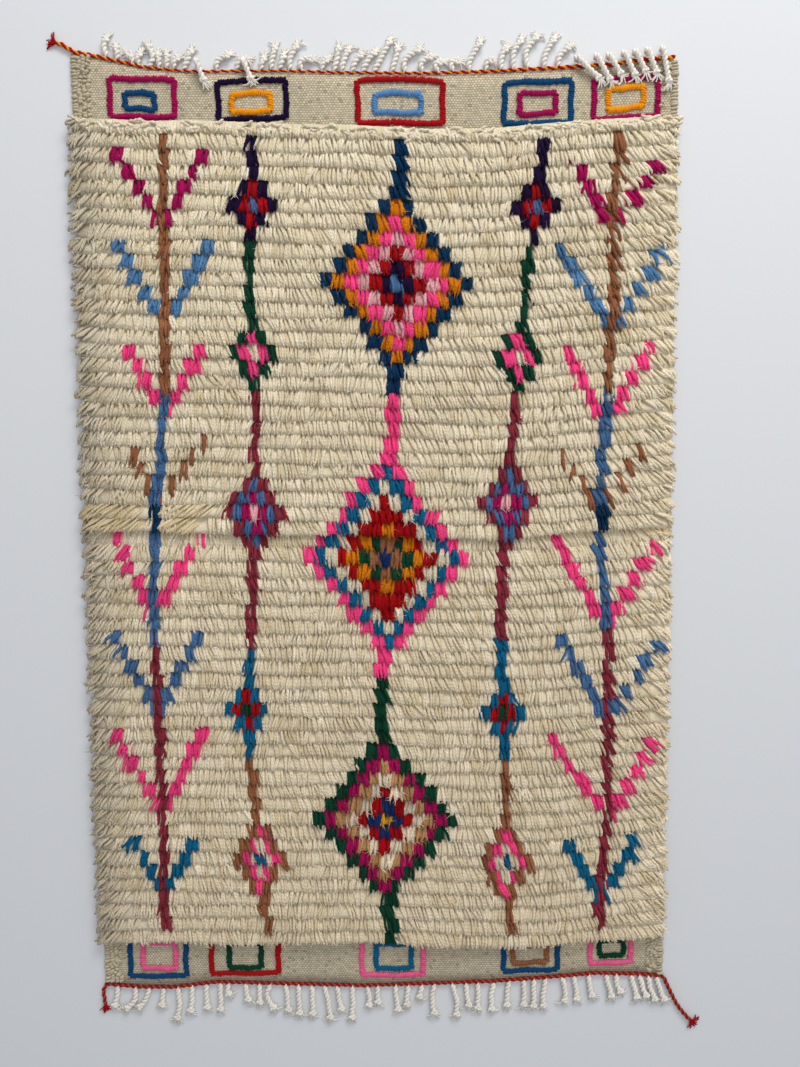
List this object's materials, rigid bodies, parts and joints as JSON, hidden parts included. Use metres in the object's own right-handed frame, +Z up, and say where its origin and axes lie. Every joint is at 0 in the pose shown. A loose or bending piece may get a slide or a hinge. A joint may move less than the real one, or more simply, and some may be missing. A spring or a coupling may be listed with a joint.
{
  "type": "rug",
  "caption": "Shag wool rug laid flat: knotted pile in rows with a bright diamond and branch pattern, flat-woven bands with worked rectangles, twined cords and knotted fringes.",
  "frame": {"origin": "middle of the underside of the whole piece's bounding box, on the floor", "axes": "+X across the rug to the right as it is seen face on, +Y along its length towards the end with the red and orange cord, +Z up out of the pile"},
  "size_m": [1.0599, 1.6851, 0.0251],
  "materials": {
    "pile_wool": "matt, shaggy wool pile",
    "warp_yarn": "matt, plied off-white wool",
    "cord_red_orange": "matt wool, two colours twined",
    "cord_red_tan": "matt wool, two colours twined",
    "yarn_magenta": "matt dyed wool",
    "yarn_petrol": "matt dyed wool",
    "yarn_purple": "matt dyed wool",
    "yarn_orange": "matt dyed wool",
    "yarn_red": "matt dyed wool",
    "yarn_sky": "matt dyed wool",
    "yarn_navy": "matt dyed wool",
    "yarn_pink": "matt dyed wool",
    "yarn_green": "matt dyed wool",
    "yarn_teal": "matt dyed wool",
    "yarn_tan": "matt dyed wool"
  },
  "bodies": {
    "root": {"weave": "pile_wool", "twined_cord_upper": "cord_red_orange", "twined_cord_lower": "cord_red_tan", "fringe_upper": "warp_yarn", "fringe_lower": "warp_yarn", "rectangle_upper_1_outer": "yarn_magenta", "rectangle_upper_1_inner": "yarn_petrol", "rectangle_upper_2_outer": "yarn_purple", "rectangle_upper_2_inner": "yarn_orange", "rectangle_upper_3_outer": "yarn_red", "rectangle_upper_3_inner": "yarn_sky", "rectangle_upper_4_outer": "yarn_petrol", "rectangle_upper_4_inner": "yarn_magenta", "rectangle_upper_5_outer": "yarn_magenta", "rectangle_upper_5_inner": "yarn_orange", "rectangle_lower_1_outer": "yarn_navy", "rectangle_lower_1_inner": "yarn_pink", "rectangle_lower_2_outer": "yarn_red", "rectangle_lower_2_inner": "yarn_green", "rectangle_lower_3_outer": "yarn_pink", "rectangle_lower_3_inner": "yarn_teal", "rectangle_lower_4_outer": "yarn_navy", "rectangle_lower_4_inner": "yarn_tan", "rectangle_lower_5_outer": "yarn_pink", "rectangle_lower_5_inner": "yarn_green"}
  },
  "joints": []
}
